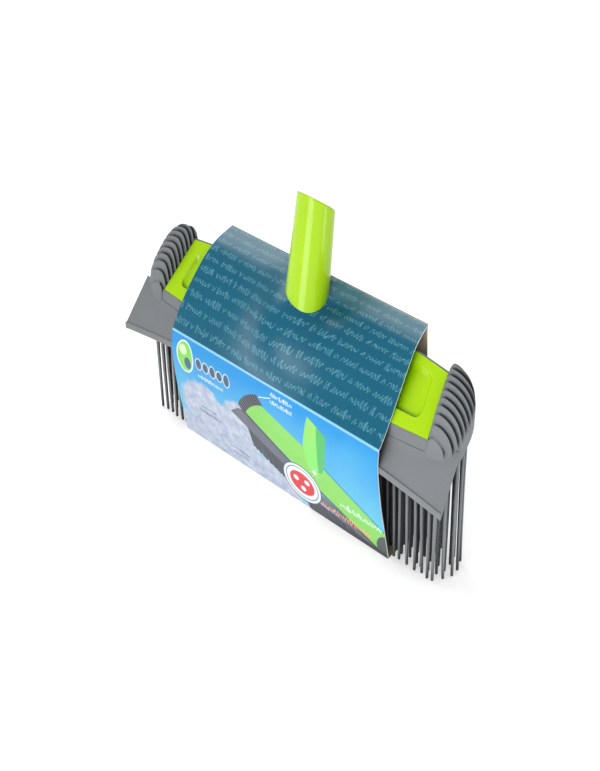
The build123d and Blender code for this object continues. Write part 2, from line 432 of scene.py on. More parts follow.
def dash_rows(made, u, v):
    """Rows of scribbled words, the same three in every row, shifted from row to row."""
    row = (v / ROW_PITCH).math("FLOOR")
    inside = v - row * ROW_PITCH - ROW_PITCH / 2
    stagger = made.white(row, row * 0.37, row * 0.11) * PHRASE_LENGTH
    along = (u + stagger + inside * -0.2) + 10 * PHRASE_LENGTH
    phrase = along - (along / PHRASE_LENGTH).math("FLOOR") * PHRASE_LENGTH
    words = None
    for middle, width in PHRASE_WORDS:
        word = (phrase - middle).abs().less(width / 2, 0.3)
        words = word if words is None else words.high(word)
    return words * scribble(made, along, inside, row) * v.more(ROW_PITCH, 0.3)


SKY_TOP = (0.008, 0.26, 0.62)
SKY_LOW = (0.14, 0.54, 0.68)
PICTURE_GREEN = (0.16, 0.52, 0.07)
PICTURE_LIGHT = (0.27, 0.62, 0.12)
PICTURE_SHADE = (0.07, 0.43, 0.11)
PICTURE_GREY = (0.09, 0.1, 0.13)
PICTURE_DARK = (0.018, 0.02, 0.028)
INK = (0.02, 0.06, 0.12)
PAPER = (0.72, 0.77, 0.8)


def polygon(u, v, corners, soft=0.5):
    """The mask of a convex shape given by its corners, in either direction round it."""
    sides = list(zip(corners, corners[1:] + corners[:1]))
    if sum(ax * by - bx * ay for (ax, ay), (bx, by) in sides) < 0:
        sides = [(b, a) for a, b in reversed(sides)]
    mask = None
    for (ax, ay), (bx, by) in sides:
        length = hypot(bx - ax, by - ay)
        across, down = (by - ay) / length, (ax - bx) / length
        side = (u * across + v * down).less(ax * across + ay * down, soft)
        mask = side if mask is None else mask * side
    return mask


# The printed broom's parts as convex shapes: (along the band, up from the crease)
NEAR_HAIRS = [(-28.5, -46), (22, -68), (24, -88), (4, -79), (-25, -66)]
FAR_HAIRS = [(20, -82), (60, -88), (98, -94), (98, -106), (34, -106)]
LIP_NEAR = [(-45, -44.3), (-36, -37), (-30, -36), (14.7, -59.7), (42, -76), (42, -84)]
LIP_FAR = [(40, -74), (97, -94), (97, -98), (40, -85)]
PLATE_SHAPE = [(-29.5, -36), (-22, -27), (-9.5, -20.5), (31, -35), (106.5, -76), (95.5, -94.7), (30, -66)]
TUBE_LIT = [(36.8, -6), (47, -10.2), (49, -54.5), (35, -52), (31.5, -33)]
TUBE_SHADED = [(46, -9.8), (55.2, -14.2), (52.2, -42.5), (48.0, -52.5), (45, -54)]
GLINT = (40.5, -55.5)


def broom_picture(made, u, v, colour):
    """The printed picture: a green broom head, lying slantwise, with its lip, cap and bristles."""
    streak = made.noise(made.combine(u * 0.9 + v * 0.25, v * 0.05), 1.0, 3.0, 0.7)
    streak = streak.math("MULTIPLY_ADD", 2.2, -0.7, clamp=True)
    fringe = made.noise(made.combine(u * 0.6, v * 0.05), 1.0, 2.0) * 7.0
    near_hairs = polygon(u, v + fringe, NEAR_HAIRS, 0.8)
    far_hairs = polygon(u, v + fringe * 0.5, FAR_HAIRS, 0.8)
    hairs = near_hairs.high(far_hairs)
    colour = made.mix(colour, made.mix(PICTURE_DARK, PICTURE_GREY, streak), hairs)
    lip = polygon(u, v, LIP_NEAR).high(polygon(u, v, LIP_FAR))
    cloud = made.noise(made.combine(u, v), 0.08, 3.0)
    colour = made.mix(colour, made.mix((0.08, 0.09, 0.12), (0.15, 0.165, 0.2), cloud), lip)
    shade = made.noise(made.combine(u * 0.5, v), 0.06, 3.0)
    colour = made.mix(colour, made.mix(PICTURE_GREEN, PICTURE_LIGHT, shade), polygon(u, v, PLATE_SHAPE))
    near_seam = bar(u, v, (0.0, -52.0), (69, 2.2), -27.6, 0.8)
    far_seam = bar(u, v, (63.0, -81.5), (76, 2.2), -24.0, 0.8)
    colour = made.mix(colour, PICTURE_DARK, near_seam.high(far_seam) * 0.8)
    rim = bar(u, v, (70, -54.8), (84, 1.2), -28.6, 0.7)
    colour = made.mix(colour, (0.02, 0.2, 0.16), rim)
    a, b = tilted(u, v, (-22.8, -24.7), 42.0)
    ribs = (a * 2.4).math("SINE").more(0.0, 0.9)
    ribbed = made.mix(PICTURE_DARK, (0.1, 0.11, 0.13), ribs)
    arch = (a / 15.0) * (a / 15.0) * 3.4
    cap = a.abs().less(14.5, 0.8) * (b + arch - 1.0).abs().less(4.6, 0.6)
    colour = made.mix(colour, ribbed, cap)
    far = disc(u, v, (103.5, -88.0), (13.0, 21.0), -28.0)
    return made.mix(colour, ribbed, far)


def socket_picture(made, u, v, colour):
    """The printed socket: an upright tube with a slanting mouth and a shaded side."""
    front = made.mix((0.2, 0.66, 0.12), PICTURE_LIGHT, v.more(-28.0, 30.0))
    colour = made.mix(colour, front, polygon(u, v, TUBE_LIT))
    colour = made.mix(colour, PICTURE_SHADE, polygon(u, v, TUBE_SHADED))
    for degrees in (20.0, 65.0, 110.0, 155.0):
        colour = made.mix(colour, PAPER, bar(u, v, GLINT, (13.0, 0.35), degrees, 0.4) * 0.7)
    return made.mix(colour, PAPER, disc(u, v, GLINT, (3.4, 3.4), 0.0, 0.8))


# Round heaps of printed foam: centre and width
FOAM_HEAPS = (
    ((-77, -62), 52), ((-34, -56), 46), ((-58, -88), 84),
    ((-104, -100), 46), ((-8, -104), 62), ((40, -116), 50),
)


def front_print(made, u, v, place):
    """The sky panel: gradient, foam, the picture, plain badges and scribbled lines."""
    clouds = made.noise(place, 0.018, 4.0)
    depth = (v * -0.0105) + (clouds - 0.5) * 0.5 - 0.06
    colour = made.mix(SKY_TOP, SKY_LOW, depth.math("ADD", 0.0, clamp=True))
    edge = (made.noise(place, 0.09, 5.0, 0.62) - 0.5) * 0.55
    foam = None
    for (x, y), size in FOAM_HEAPS:
        a = (u - x) / (size / 2)
        b = (v - y) / (size / 2)
        heap = ((a * a + b * b).math("SQRT") + edge).less(1.0, 0.14)
        foam = heap if foam is None else foam.high(heap)
    suds = made.noise(place, 0.13, 7.0, 0.66).math("MULTIPLY_ADD", 2.6, -0.8, clamp=True)
    colour = made.mix(colour, made.mix((0.25, 0.31, 0.46), (0.56, 0.6, 0.68), suds), foam)
    colour = broom_picture(made, u, v, colour)
    colour = socket_picture(made, u, v, colour)
    colour = made.mix(colour, PICTURE_DARK, v.less(-95.8, 0.8) * u.more(60.0, 50.0))
    colour = made.mix(colour, (0.5, 0.56, 0.62), v.less(-104.0, 0.6))
    return badges(made, u, v, colour)


EMBLEM = (-92, -18)
PILL_HEIGHTS = (9.0, 8.0, 9.5, 8.0, 10.5)
PILL_START = (-76.5, -17.6)
PILL_PITCH = 7.6
ROUNDEL = (24.5, -76.5)
THIRD = 2 * pi / 3
# Scribbled lines: centre, length, slant in degrees, ink, size
SCRIBBLED_LINES = [
    ((-65, -29), 28, 0.0, PAPER, 1.0),
    ((11, -5.8), 22, 0.0, PAPER, 1.0),
    ((11, -11.9), 22, 0.0, PAPER, 1.0),
    ((-73, -60.5), 17, 0.0, INK, 0.8),
    ((-73, -66), 25, 0.0, INK, 0.8),
    ((-44, -86), 22, 0.0, INK, 0.8),
    ((-44, -91), 19, 0.0, INK, 0.8),
    ((83, -73.5), 40, -2.0, (0.62, 0.86, 0.8), 1.6),
    ((67, -86.5), 50, -3.0, (0.85, 0.3, 0.2), 1.7),
]


def badges(made, u, v, colour):
    """A plain oval, a row of pills, an empty roundel and scribbled lines, in place of any wording."""
    colour = made.mix(colour, PAPER, disc(u, v, EMBLEM, (19.0, 29.5), -6.0))
    colour = made.mix(colour, (0.2, 0.6, 0.08), disc(u, v, EMBLEM, (16.6, 27.0), -6.0))
    colour = made.mix(colour, (0.62, 0.85, 0.5), disc(u, v, (-93.5, -12), (8.0, 9.0), -6.0))
    colour = made.mix(colour, (0.03, 0.12, 0.2), disc(u, v, (-89.5, -23), (7.5, 11.0), -6.0))
    for number, height in enumerate(PILL_HEIGHTS):
        place = (PILL_START[0] + number * PILL_PITCH, PILL_START[1])
        colour = made.mix(colour, PAPER, disc(u, v, place, (7.6, height + 2.0)) * 0.7)
        colour = made.mix(colour, (0.04, 0.1, 0.16), disc(u, v, place, (5.9, height)))
    zero = u * 0.0
    for centre, length, degrees, ink, size in SCRIBBLED_LINES:
        a, b = tilted(u, v, centre, degrees)
        pen = scribble(made, a * (1.6 / size) + 300.0, b * (1.6 / size), zero + centre[1])
        within = a.abs().less(length / 2, 0.5) * b.abs().less(2.2 * size, 0.4)
        colour = made.mix(colour, ink, pen * within)
    colour = made.mix(colour, PAPER, bar(u, v, (-5.5, -11.5), (13.0, 0.7), 22.0))
    for ink, size in ((INK, (39.5, 37.5)), (PAPER, (37.5, 35.5)), (INK, (33.0, 31.0)),
                      (PAPER, (31.4, 29.4)), ((0.62, 0.02, 0.03), (25.0, 22.0))):
        colour = made.mix(colour, ink, disc(u, v, ROUNDEL, size))
    for turn in range(3):
        angle = turn * THIRD + 0.6
        dot = (ROUNDEL[0] + 6.5 * cos(angle), ROUNDEL[1] + 5.5 * sin(angle))
        colour = made.mix(colour, PAPER, disc(u, v, dot, (5.4, 5.0), 0.0, 0.1))
    return colour


def card_print():
    """The varnished print: teal with pale scribbled rows above the crease, a painted sheen along the
    ridge, a sky picture below it.
    """
    made = Material("card_print")
    u, v, place = made.uv()
    cloud = made.noise(place, 0.02, 3.0)
    teal = made.mix((0.003, 0.09, 0.155), (0.006, 0.112, 0.185), cloud)
    top = made.mix(teal, (0.1, 0.3, 0.38), dash_rows(made, u, v) * 0.8)
    # Painted sheen: the teal turns paler grey towards the ridge, as light glancing off the varnish would.
    painted_sheen = v.more(SHEEN_START, 14.0) * v.less(SHEEN_START + SHEEN_WIDTH, 10.0)
    top = made.mix(top, (0.2, 0.3, 0.33), painted_sheen * 0.3)
    front = front_print(made, u, v, place)
    colour = made.mix(front, top, v.more(0.9, 0.5))
    crease = (v - 0.2).abs().less(0.9, 0.7)
    colour = made.mix(colour, (0.3, 0.62, 0.9), crease * 0.85)
    speck = made.noise(place, 3.0, 2.0)
    made.link(colour, "Base Color")
    made.link(speck * 0.06 + 0.3, "Roughness")
    made.set(Specular_IOR_Level=0.35)
    made.bump(made.noise(place, 0.9, 4.0), 0.05, 0.1)
    return made.material


LIME = lime_plastic()
RUBBER = grey_rubber("grey_rubber", 13.0, 1.3)
BRISTLE_RUBBER = grey_rubber("bristle_rubber", 30.0, 2.1)
CARD_PRINT = card_print()
CARD_INSIDE = card_inside()
CARD_CORE = card_core()


# ---------------------------------------------------------------- deck plate

# The shallow recess: its depth, corners and wall, and its distance from the plate's edges
RECESS_DEPTH = 2.4
RECESS_CORNER = 6.0
RECESS_WALL = 1.7
RECESS_FRONT = 9.3
RECESS_BACK = 6.0
RECESS_END = 10.6
EDGE_ROUND = 0.7


def plate_place(s, t, height):
    """A point of the plate from shares across (-1 to 1) and up (0 to 1) its outline."""
    bow = 1 - s * s
    front = -FRONT_BOW * bow
    back = PLATE_DEPTH + BACK_BOW * bow
    along = lerp(front, back, t)
    point = deck_point(s * lerp(PLATE_HALF_FRONT, PLATE_HALF_BACK, t), along)
    point.z += height / cos(TILT)
    return point


def recess_share(s, t):
    """0 on the plate's rim, 1 on the recess floor, with a soft wall between."""
    half_length = lerp(PLATE_HALF_FRONT, PLATE_HALF_BACK, t)
    x = abs(s) * half_length
    up = t * PLATE_DEPTH
    middle = (RECESS_FRONT + PLATE_DEPTH - RECESS_BACK) / 2
    half_up = (PLATE_DEPTH - RECESS_BACK - RECESS_FRONT) / 2
    a = x - (half_length - RECESS_END) + RECESS_CORNER
    b = abs(up - middle) - half_up + RECESS_CORNER
    outside = hypot(max(a, 0.0), max(b, 0.0)) + min(max(a, b), 0.0) - RECESS_CORNER
    return 1 - smooth(-RECESS_WALL, RECESS_WALL * 0.3, outside)


def deck_plate():
    """The plate's top and bottom grids, finer at the rounded edge and at the recess wall."""
    edge, wall, inner = (distance / PLATE_HALF_FRONT for distance in (1.2, 8.0, 24.0))
    across = spread([-1, -1 + edge, -1 + wall, -1 + inner, 1 - inner, 1 - wall, 1 - edge, 1],
                    [0.002, 0.006, 0.003, 0.04, 0.003, 0.006, 0.002])
    up = spread([0, 0.03, 0.16, 0.34, 0.72, 0.92, 0.97, 1],
                [0.006, 0.02, 0.009, 0.03, 0.009, 0.02, 0.006])
    top = []
    bottom = []
    for s in across:
        for t in up:
            rim = min((1 - abs(s)) * PLATE_HALF_FRONT, t * PLATE_DEPTH, (1 - t) * PLATE_DEPTH)
            reach = max(0.0, EDGE_ROUND - rim)
            rounding = EDGE_ROUND - sqrt(max(0.0, EDGE_ROUND ** 2 - reach ** 2))
            top.append(plate_place(s, t, -RECESS_DEPTH * recess_share(s, t) - rounding))
            bottom.append(plate_place(s, t, -PLATE_THICKNESS))
    faces = shell_faces(len(across), len(up))
    mesh_piece("deck_plate_moulding", top + bottom, faces, [LIME],
               ["deck_plate"], 80.0)


# ---------------------------------------------------------------- handle socket

SOCKET_LEAN = radians(8.0)
SOCKET_Y = 9.2
SOCKET_Z = 156.3
SOCKET_BASE = 15.3
SOCKET_MOUTH = 13.3
SOCKET_MOUTH_Z = 228.0
SOCKET_BORE = 11.6
SOCKET_FLOOR_Z = 164.0
MOUTH_SLOPE = radians(40.0)
MOUTH_ROUND = 0.6


def socket_point(angle, radius, up):
    """A point round the socket's axis, up along it from the axis point at SOCKET_Z."""
    side = Vector((cos(angle), sin(angle) * cos(SOCKET_LEAN), -sin(angle) * sin(SOCKET_LEAN)))
    axis = Vector((0, sin(SOCKET_LEAN), cos(SOCKET_LEAN)))
    return Vector((0, SOCKET_Y, SOCKET_Z)) + axis * up + side * radius


def handle_socket():
    """A closed tube: outside from the deck to the mouth, over a rounded rim and down the bore."""
    sides = 96
    mouth_up = (SOCKET_MOUTH_Z - SOCKET_Z) / cos(SOCKET_LEAN)
    floor_up = (SOCKET_FLOOR_Z - SOCKET_Z) / cos(SOCKET_LEAN)
    mouth_tilt = tan(MOUTH_SLOPE - SOCKET_LEAN)
    taper = (SOCKET_BASE - SOCKET_MOUTH) / mouth_up
    wall = SOCKET_MOUTH - SOCKET_BORE
    rings = []
    for share in [0, 0.1, 0.25, 0.45, 0.65, 0.82, 0.93, 0.98]:
        rings.append(("outside", share))
    for step in range(7):
        rings.append(("rim", step / 6))
    for share in [0.97, 0.8, 0.5, 0.2, 0.03, 0.0]:
        rings.append(("bore", share))
    points = []
    for kind, share in rings:
        for side in range(sides):
            angle = 2 * pi * side / sides
            if kind == "outside":
                base_y = socket_point(angle, SOCKET_BASE, 0).y
                foot_up = (deck_z(base_y, -1.0) - SOCKET_Z) - 1.5
                top_up = mouth_up - sin(angle) * SOCKET_MOUTH * mouth_tilt - MOUTH_ROUND
                up = lerp(foot_up, top_up, share)
                radius = SOCKET_BASE - up * taper
            elif kind == "rim":
                turn = share * pi
                radius = (SOCKET_MOUTH + SOCKET_BORE) / 2 + cos(turn) * wall / 2
                up = mouth_up - sin(angle) * radius * mouth_tilt - MOUTH_ROUND + sin(turn) * MOUTH_ROUND
            else:
                radius = SOCKET_BORE if share > 0.01 else SOCKET_BORE * 0.96
                top_up = mouth_up - sin(angle) * radius * mouth_tilt - MOUTH_ROUND
                up = lerp(floor_up, top_up, share)
            points.append(socket_point(angle, radius, up))
    faces = tube_faces(len(rings), sides)
    mesh_piece("handle_socket_moulding", points, [tuple(reversed(f)) for f in faces], [LIME],
               ["handle_socket"], 50.0)


# ---------------------------------------------------------------- rubber body

def body_section(s):
    """The slab's outline in a slice at share s of its half-length, with rounded corners."""
    bow = 1 - s * s
    foot_y = deck_point(0, -SHOULDER_FRONT - FRONT_BOW * bow, -SHOULDER_DROP).y
    back_y = BODY_BACK_Y + BODY_BACK_BOW * bow
    plate_front = deck_point(0, -FRONT_BOW * bow)
    plate_back = deck_point(0, PLATE_DEPTH + BACK_BOW * bow)
    rim = deck_point(0, PLATE_DEPTH + BACK_BOW * bow + RIM_WIDTH)
    lip_y = plate_front.y - 0.5
    return [
        (foot_y, deck_z(foot_y, -SHOULDER_DROP), 1.5),
        (lip_y, deck_z(lip_y), 0.8),
        (plate_front.y, plate_front.z, 0.15),
        (plate_front.y, plate_front.z - PLATE_THICKNESS / cos(TILT), 0.2),
        (plate_back.y, plate_back.z - PLATE_THICKNESS / cos(TILT), 0.2),
        (plate_back.y, plate_back.z, 0.15),
        (rim.y, rim.z, 0.8),
        (back_y, deck_z(back_y, -SHOULDER_DROP), 1.0),
        (back_y, deck_z(back_y, -SLAB_THICKNESS), 0.6),
        (foot_y, deck_z(foot_y, -SLAB_THICKNESS), 0.6),
    ]


def rubber_body():
    """The slab, swept through its sections from end to end and reaching a little under the caps."""
    slices = 61
    points = []
    for index in range(slices):
        s = -1 + 2 * index / (slices - 1)
        path = rounded_path(body_section(s))
        points += [(s * (end_x(y) + BODY_OVERLAP), y, z) for y, z in path]
    sides = len(path)
    faces = tube_faces(slices, sides)
    mesh_piece("rubber_body_moulding", points, faces, [RUBBER],
               ["rubber_body"], 40.0)


# ---------------------------------------------------------------- squeegee lip

LIP_HALF = highest("squeegee_lip").x
LIP_CORNER_Y = lowest("squeegee_lip").y
LIP_MIDDLE_Y = -26.2
LIP_SIDE_X = 155.0
LIP_SIDE_Y = -9.4
LIP_SLOPE = radians(58.8)
LIP_ROOT_Y = -16.2
LIP_ROOT_Z = 105.8
LIP_THICKNESS = 1.9
LIP_FILLET = 3.0
LIP_LEDGE = 1.1
LIP_FILLET_RISE = 2.2
LIP_FACE_SHARES = (0, 0.04, 0.1, 0.18, 0.3, 0.45, 0.62, 0.8, 0.95, 1.0)
LIP_UNDER_SHARES = (0.93, 0.62, 0.3, 0.0)
SHOULDER_BOW_X = 134.0
SHOULDER_END_X = (130.0, 140.0)


def lip_z(y):
    return LIP_ROOT_Z + (y - LIP_ROOT_Y) * tan(LIP_SLOPE)


def lip_section(s, pinch):
    """The lip's outline at share s of its half-length.

    It runs down the face, round a square rim and back under. Pinch thins the sheet from both sides.
    """
    bow = 1 - s * s
    front_y = lerp(LIP_CORNER_Y, LIP_MIDDLE_Y, bow)
    x_root = s * LIP_SIDE_X
    inner = max(0.0, 1 - (abs(x_root) / SHOULDER_BOW_X) ** 2)
    shoulder_y = deck_point(0, -SHOULDER_FRONT - FRONT_BOW * inner, -SHOULDER_DROP).y
    past = smooth(*SHOULDER_END_X, abs(x_root))
    root_y = lerp(shoulder_y + 0.5, LIP_SIDE_Y, past)
    ledge_y = front_y + LIP_LEDGE
    ledge_z = lip_z(ledge_y)
    low_z = lip_z(front_y) - LIP_THICKNESS / cos(LIP_SLOPE)
    section = []
    for share in LIP_FACE_SHARES:
        y = lerp(root_y, ledge_y, share)
        reach = max(0.0, 1 - (root_y - y) / LIP_FILLET)
        section.append((y, lip_z(y) + reach * reach * LIP_FILLET_RISE * (1 - past) - pinch))
    for back, drop in ((0.35, 0.0), (0.08, 0.12), (0.0, 0.4)):
        section.append((front_y + back, ledge_z - drop - pinch))
    for back, rise in ((0.0, 0.4), (0.1, 0.1)):
        section.append((front_y + back, low_z + rise + pinch))
    for share in LIP_UNDER_SHARES:
        y = lerp(root_y, front_y, share)
        section.append((y, lip_z(y) - LIP_THICKNESS / cos(LIP_SLOPE) + pinch))
    points = []
    for y, z in section:
        points.append((lerp(x_root, s * LIP_HALF, (root_y - y) / (root_y - front_y)), y, z))
    return points


def squeegee_lip():
    """A thin flared sheet with a thick square rim, blended into the shoulder."""
    points = []
    stations = spread([-1, -0.988, 0.988, 1], [0.002, 0.0125, 0.002])
    for s in stations:
        edge = (1 - abs(s)) * LIP_HALF
        rim = 0.45 * smooth(1.8, 1.3, edge) * smooth(0.0, 0.5, edge)
        points += lip_section(s, 0.3 * (1 - smooth(0.0, 0.4, edge)) - rim)
    sides = len(points) // len(stations)
    faces = tube_faces(len(stations), sides)
    mesh_piece("squeegee_lip_moulding", points, faces, [RUBBER],
               ["squeegee_lip"], 24.0)


# ---------------------------------------------------------------- end caps

CAP_FRONT_Y = -16.2
CAP_BACK_Y = 17.2
CAP_OUTER_X = highest("end_cap_right").x - 0.5
CAP_WIDE_Y = -3.9
CAP_CREST = 15.0
CAP_BASE = -8.0
CAP_NOSE = 4.4
CAP_GROOVE = 4.8
CAP_PITCH = 3.1


def cap_plan(y, front_power, back_power):
    """How full the cap is at y: 1 at its widest and 0 at the nose and the tail."""
    half, power = CAP_WIDE_Y - CAP_FRONT_Y, front_power
    if y >= CAP_WIDE_Y:
        half, power = CAP_BACK_Y - CAP_WIDE_Y, back_power
    share = min(1.0, abs(y - CAP_WIDE_Y) / half)
    return (1 - share ** power) ** (1 / power)


def cap_outer_x(y):
    """How far the cap reaches out at y, a D in plan."""
    inner = end_x(CAP_FRONT_Y if y < CAP_WIDE_Y else CAP_BACK_Y)
    return inner + (CAP_OUTER_X - inner) * cap_plan(y, 2.6, 3.1)


def cap_crest(y):
    """Height of the arch above the deck at y, rounding down at the nose and the tail."""
    return CAP_BASE + (CAP_CREST - CAP_BASE) * cap_plan(y, 2.1, 3.5)


def fin_height(y):
    """1 on a fin's crest and 0 on a groove's floor."""
    phase = (y - CAP_FRONT_Y) / CAP_PITCH
    phase -= floor(phase) + 0.5
    return 1 - smooth(0.1, 0.34, abs(phase))


def cap_section(y, steps):
    """The arch across one end at y: up the inner face, over the crest and down the outside."""
    inner = end_x(y) - 0.2
    outer = cap_outer_x(y)
    crest_x = inner + min(6.2, (outer - inner) * 0.3)
    rise = cap_crest(y) - CAP_BASE
    past_nose = smooth(0.3, 1.0, (y - CAP_FRONT_Y) / CAP_NOSE)
    groove = CAP_GROOVE * (1 - fin_height(y)) * past_nose
    base = deck_z(y)
    section = [(inner, base - SLAB_THICKNESS / cos(TILT))]
    for step in range(steps + 1):
        turn = pi * (1 - step / steps)
        if turn > pi / 2:
            reach, power = crest_x - inner, 2.6
        else:
            reach, power = outer - crest_x, 2.1
        c = copysign(abs(cos(turn)) ** (2 / power), cos(turn))
        up = abs(sin(turn)) ** (2 / power)
        fade = smooth(0.12, 0.32, up) if turn < pi / 2 else smooth(0.25, 0.5, up)
        cut = min(groove * fade, 0.45 * rise)
        length = hypot(c, up)
        x = crest_x + reach * c - cut * c / length
        z = CAP_BASE + rise * up - cut * up / length
        section.append((x, base + z))
    section.append((outer, base - SLAB_THICKNESS / cos(TILT)))
    return section


def end_cap(side, name):
    """One ribbed cap, swept from its nose to its tail with closer sections at both ends."""
    steps = 40
    per_fin = 12
    samples = int((CAP_BACK_Y - CAP_FRONT_Y) / CAP_PITCH * per_fin)
    points = []
    for index in range(samples + 1):
        share = 0.5 - 0.5 * cos(pi * index / samples)
        y = lerp(CAP_FRONT_Y + 0.02, CAP_BACK_Y - 0.02, lerp(index / samples, share, 0.35))
        points += [(side * x, y, z) for x, z in cap_section(y, steps)]
    sides = steps + 3
    faces = tube_faces(samples + 1, sides)
    if side > 0:
        faces = [tuple(reversed(face)) for face in faces]
    mesh_piece(f"end_cap_{name}_moulding", points, faces, [RUBBER],
               [f"end_cap_{name}"], 60.0)


# ---------------------------------------------------------------- bristles

ROW_FRONT_Y = -14.6
ROW_BACK_Y = 13.2
ROW_FRONT_BOW = 1.6
ROW_BACK_BOW = 4.3
ROW_BRISTLES = [47, 48, 48, 48, 46]
BRISTLE_ROOT = 1.6
BRISTLE_TIP = 1.05
BRISTLE_END_Z = 0.3
BRISTLE_SPLAY = 0.016
BRISTLE_BOW = 0.8
# Thickness along a bristle: share of its length, share of its root's radius
BRISTLE_PROFILE = [
    (0, 1.0), (0.02, 0.97), (0.15, 0.94), (0.35, 0.87), (0.55, 0.8), (0.75, 0.73), (0.9, 0.68),
]


def bristle_rings(root, tip, sides):
    """Rings from the root to a rounded tip, with a slight bow along the length."""
    radii = [(t, BRISTLE_ROOT * share) for t, share in BRISTLE_PROFILE]
    length = (tip - root).length
    for degree in (0, 30, 55, 75, 88):
        end = radians(degree)
        radii.append((1 - BRISTLE_TIP * (1 - sin(end)) / length, BRISTLE_TIP * cos(end)))
    bend_x = random.uniform(-BRISTLE_BOW, BRISTLE_BOW)
    bend_y = random.uniform(-BRISTLE_BOW, BRISTLE_BOW)
    bend = Vector((bend_x, bend_y, 0))
    points = []
    for t, radius in radii:
        centre = root.lerp(tip, t) + bend * (t * (1 - t) * 4)
        for side in range(sides):
            angle = 2 * pi * side / sides
            points.append(centre + Vector((cos(angle), sin(angle), 0)) * radius)
    return points, len(radii)


def bristle_row(row):
    """One row of bristles, each one closed and leaning a little its own way."""
    sides = 12
    share = row / (len(ROW_BRISTLES) - 1)
    node = f"bristle_row_{row + 1}"
    half = highest(node).x - BRISTLE_ROOT
    points = []
    faces = []
    for number in range(ROW_BRISTLES[row]):
        x = -half + 2 * half * number / (ROW_BRISTLES[row] - 1)
        bow = lerp(-ROW_FRONT_BOW, ROW_BACK_BOW, share) * (1 - (x / half) ** 2)
        y = lerp(ROW_FRONT_Y, ROW_BACK_Y, share) + bow
        root = Vector((x, y, deck_z(y, -SLAB_THICKNESS) + 1.5))
        lean = Vector((random.gauss(0, 0.7), random.gauss(0, 0.6), 0))
        end_z = BRISTLE_END_Z + abs(random.gauss(0, 0.7))
        tip = Vector((x * (1 + BRISTLE_SPLAY), y, end_z)) + lean
        ring_points, rings = bristle_rings(root, tip, sides)
        start = len(points)
        points += ring_points
        faces += [tuple(start + v for v in face) for face in tube_faces(rings, sides)]
    faces = [tuple(reversed(face)) for face in faces]
    mesh_piece(f"{node}_moulding", points, faces, [BRISTLE_RUBBER], [node], 50.0)


# ---------------------------------------------------------------- card band

CARD_THICKNESS = 0.7
CARD_CENTRE_X = -1.6
CARD_HALF = 105.2
CARD_LEAN_Y = 0.1156
CARD_LEAN_Z = 0.0423
CARD_RIDGE = (highest("card_sleeve").y - 0.1, highest("card_sleeve").z - 0.2)
CARD_CREASE = (-27.7, 99.7)
CARD_TOP = [(14.1, 160.0), (4.1, 149.0), (-6.4, 134.3), (-15.3, 120.4), (-22.4, 108.5)]
CARD_FRONT = [(-29.1, 84.0), (-27.0, 55.0), (-22.8, 26.0)]
CARD_BOTTOM = (-18.8, 0.1)
CARD_BACK_FOOT = (CARD_RIDGE[0], 0.1)
# The hole's room round the socket, and how far it sits to the socket's right
HOLE_GAP = 1.2
HOLE_SHIFT = 0.9
# How the top panel tents up in front of the socket, dips behind it and hangs slack on the right
CARD_TENT = 18.5
CARD_TENT_X = -6.0
CARD_TENT_WIDTH = 31.0
CARD_DIP = 8.5
CARD_DIP_X = 20.0
CARD_DIP_WIDTH = 15.0
CARD_SLACK = 2.8
# How finely each panel is divided
TOP_STEPS = 44
BACK_STEPS = 24
UNDER_STEPS = 10
FRONT_STEPS = 40
CARD_COLUMNS = 161
PRINT_SEAM = 0.05
# The top panel's printed rows: where they start, the first row's pitch and how it closes up
ROW_PLAIN = 3.0
ROW_FIRST = 9.2
ROW_START = 12.1
ROW_CLOSING = 0.37


def spline(points, count):
    """Points along a smooth curve through the given ones, evenly spread between them."""
    ends = [Vector(points[0]) * 2 - Vector(points[1]), *map(Vector, points),
            Vector(points[-1]) * 2 - Vector(points[-2])]
    curve = []
    spans = len(points) - 1
    for index in range(count + 1):
        place = min(index / count * spans, spans - 1e-6)
        span = int(place)
        t = place - span
        a, b, c, d = ends[span:span + 4]
        curve.append(0.5 * (2 * b + (c - a) * t + (2 * a - 5 * b + 4 * c - d) * t * t
                            + (3 * b - a - 3 * c + d) * t ** 3))
    return curve


def card_outline():
    """The band's section from the crease up over the ridge, down the back, under and up the front.

    Returns its points, where the print falls on each one, and how far up the top panel each one is.
    """
    top = spline([CARD_CREASE, *reversed(CARD_TOP), CARD_RIDGE], TOP_STEPS)
    back_y = CARD_RIDGE[0]
    back = spline([CARD_RIDGE, (back_y, 110.0), (back_y, 55.0), CARD_BACK_FOOT], BACK_STEPS)
    under = spline([CARD_BACK_FOOT, (5.0, CARD_BOTTOM[1]), CARD_BOTTOM], UNDER_STEPS)
    under[0] = under[0] + (under[1] - under[0]).normalized() * PRINT_SEAM
    front = spline([CARD_BOTTOM, *reversed(CARD_FRONT), CARD_CREASE], FRONT_STEPS)
    points = top + back[1:] + under + front[1:-1]
    bulge = [i / TOP_STEPS for i in range(TOP_STEPS + 1)] + [0.0] * (len(points) - TOP_STEPS - 1)
    distance = [0.0]
    for a, b in zip(points, points[1:]):
        distance.append(distance[-1] + (b - a).length)
    around = distance[-1] + (points[0] - points[-1]).length
    seam = TOP_STEPS + BACK_STEPS + 1
    ridge = distance[TOP_STEPS]
    distance = [printed_row(min(d, ridge)) + max(0.0, d - ridge) if i < seam else d - around
                for i, d in enumerate(distance)]
    return points, distance, bulge


def card_bulge(x, share):
    """How far the top panel stands off its mean shape, by the share of the way up to the ridge.

    The socket tents it up in front and lets it dip behind, and its right end hangs slack.
    """
    tent = CARD_TENT * exp(-((x - CARD_TENT_X) / CARD_TENT_WIDTH) ** 2) - CARD_SLACK * x / 100
    dip = CARD_DIP * exp(-((x - CARD_DIP_X) / CARD_DIP_WIDTH) ** 2)
    return tent * sin(pi * share) - dip * sin(pi * share ** 3.2) ** 2


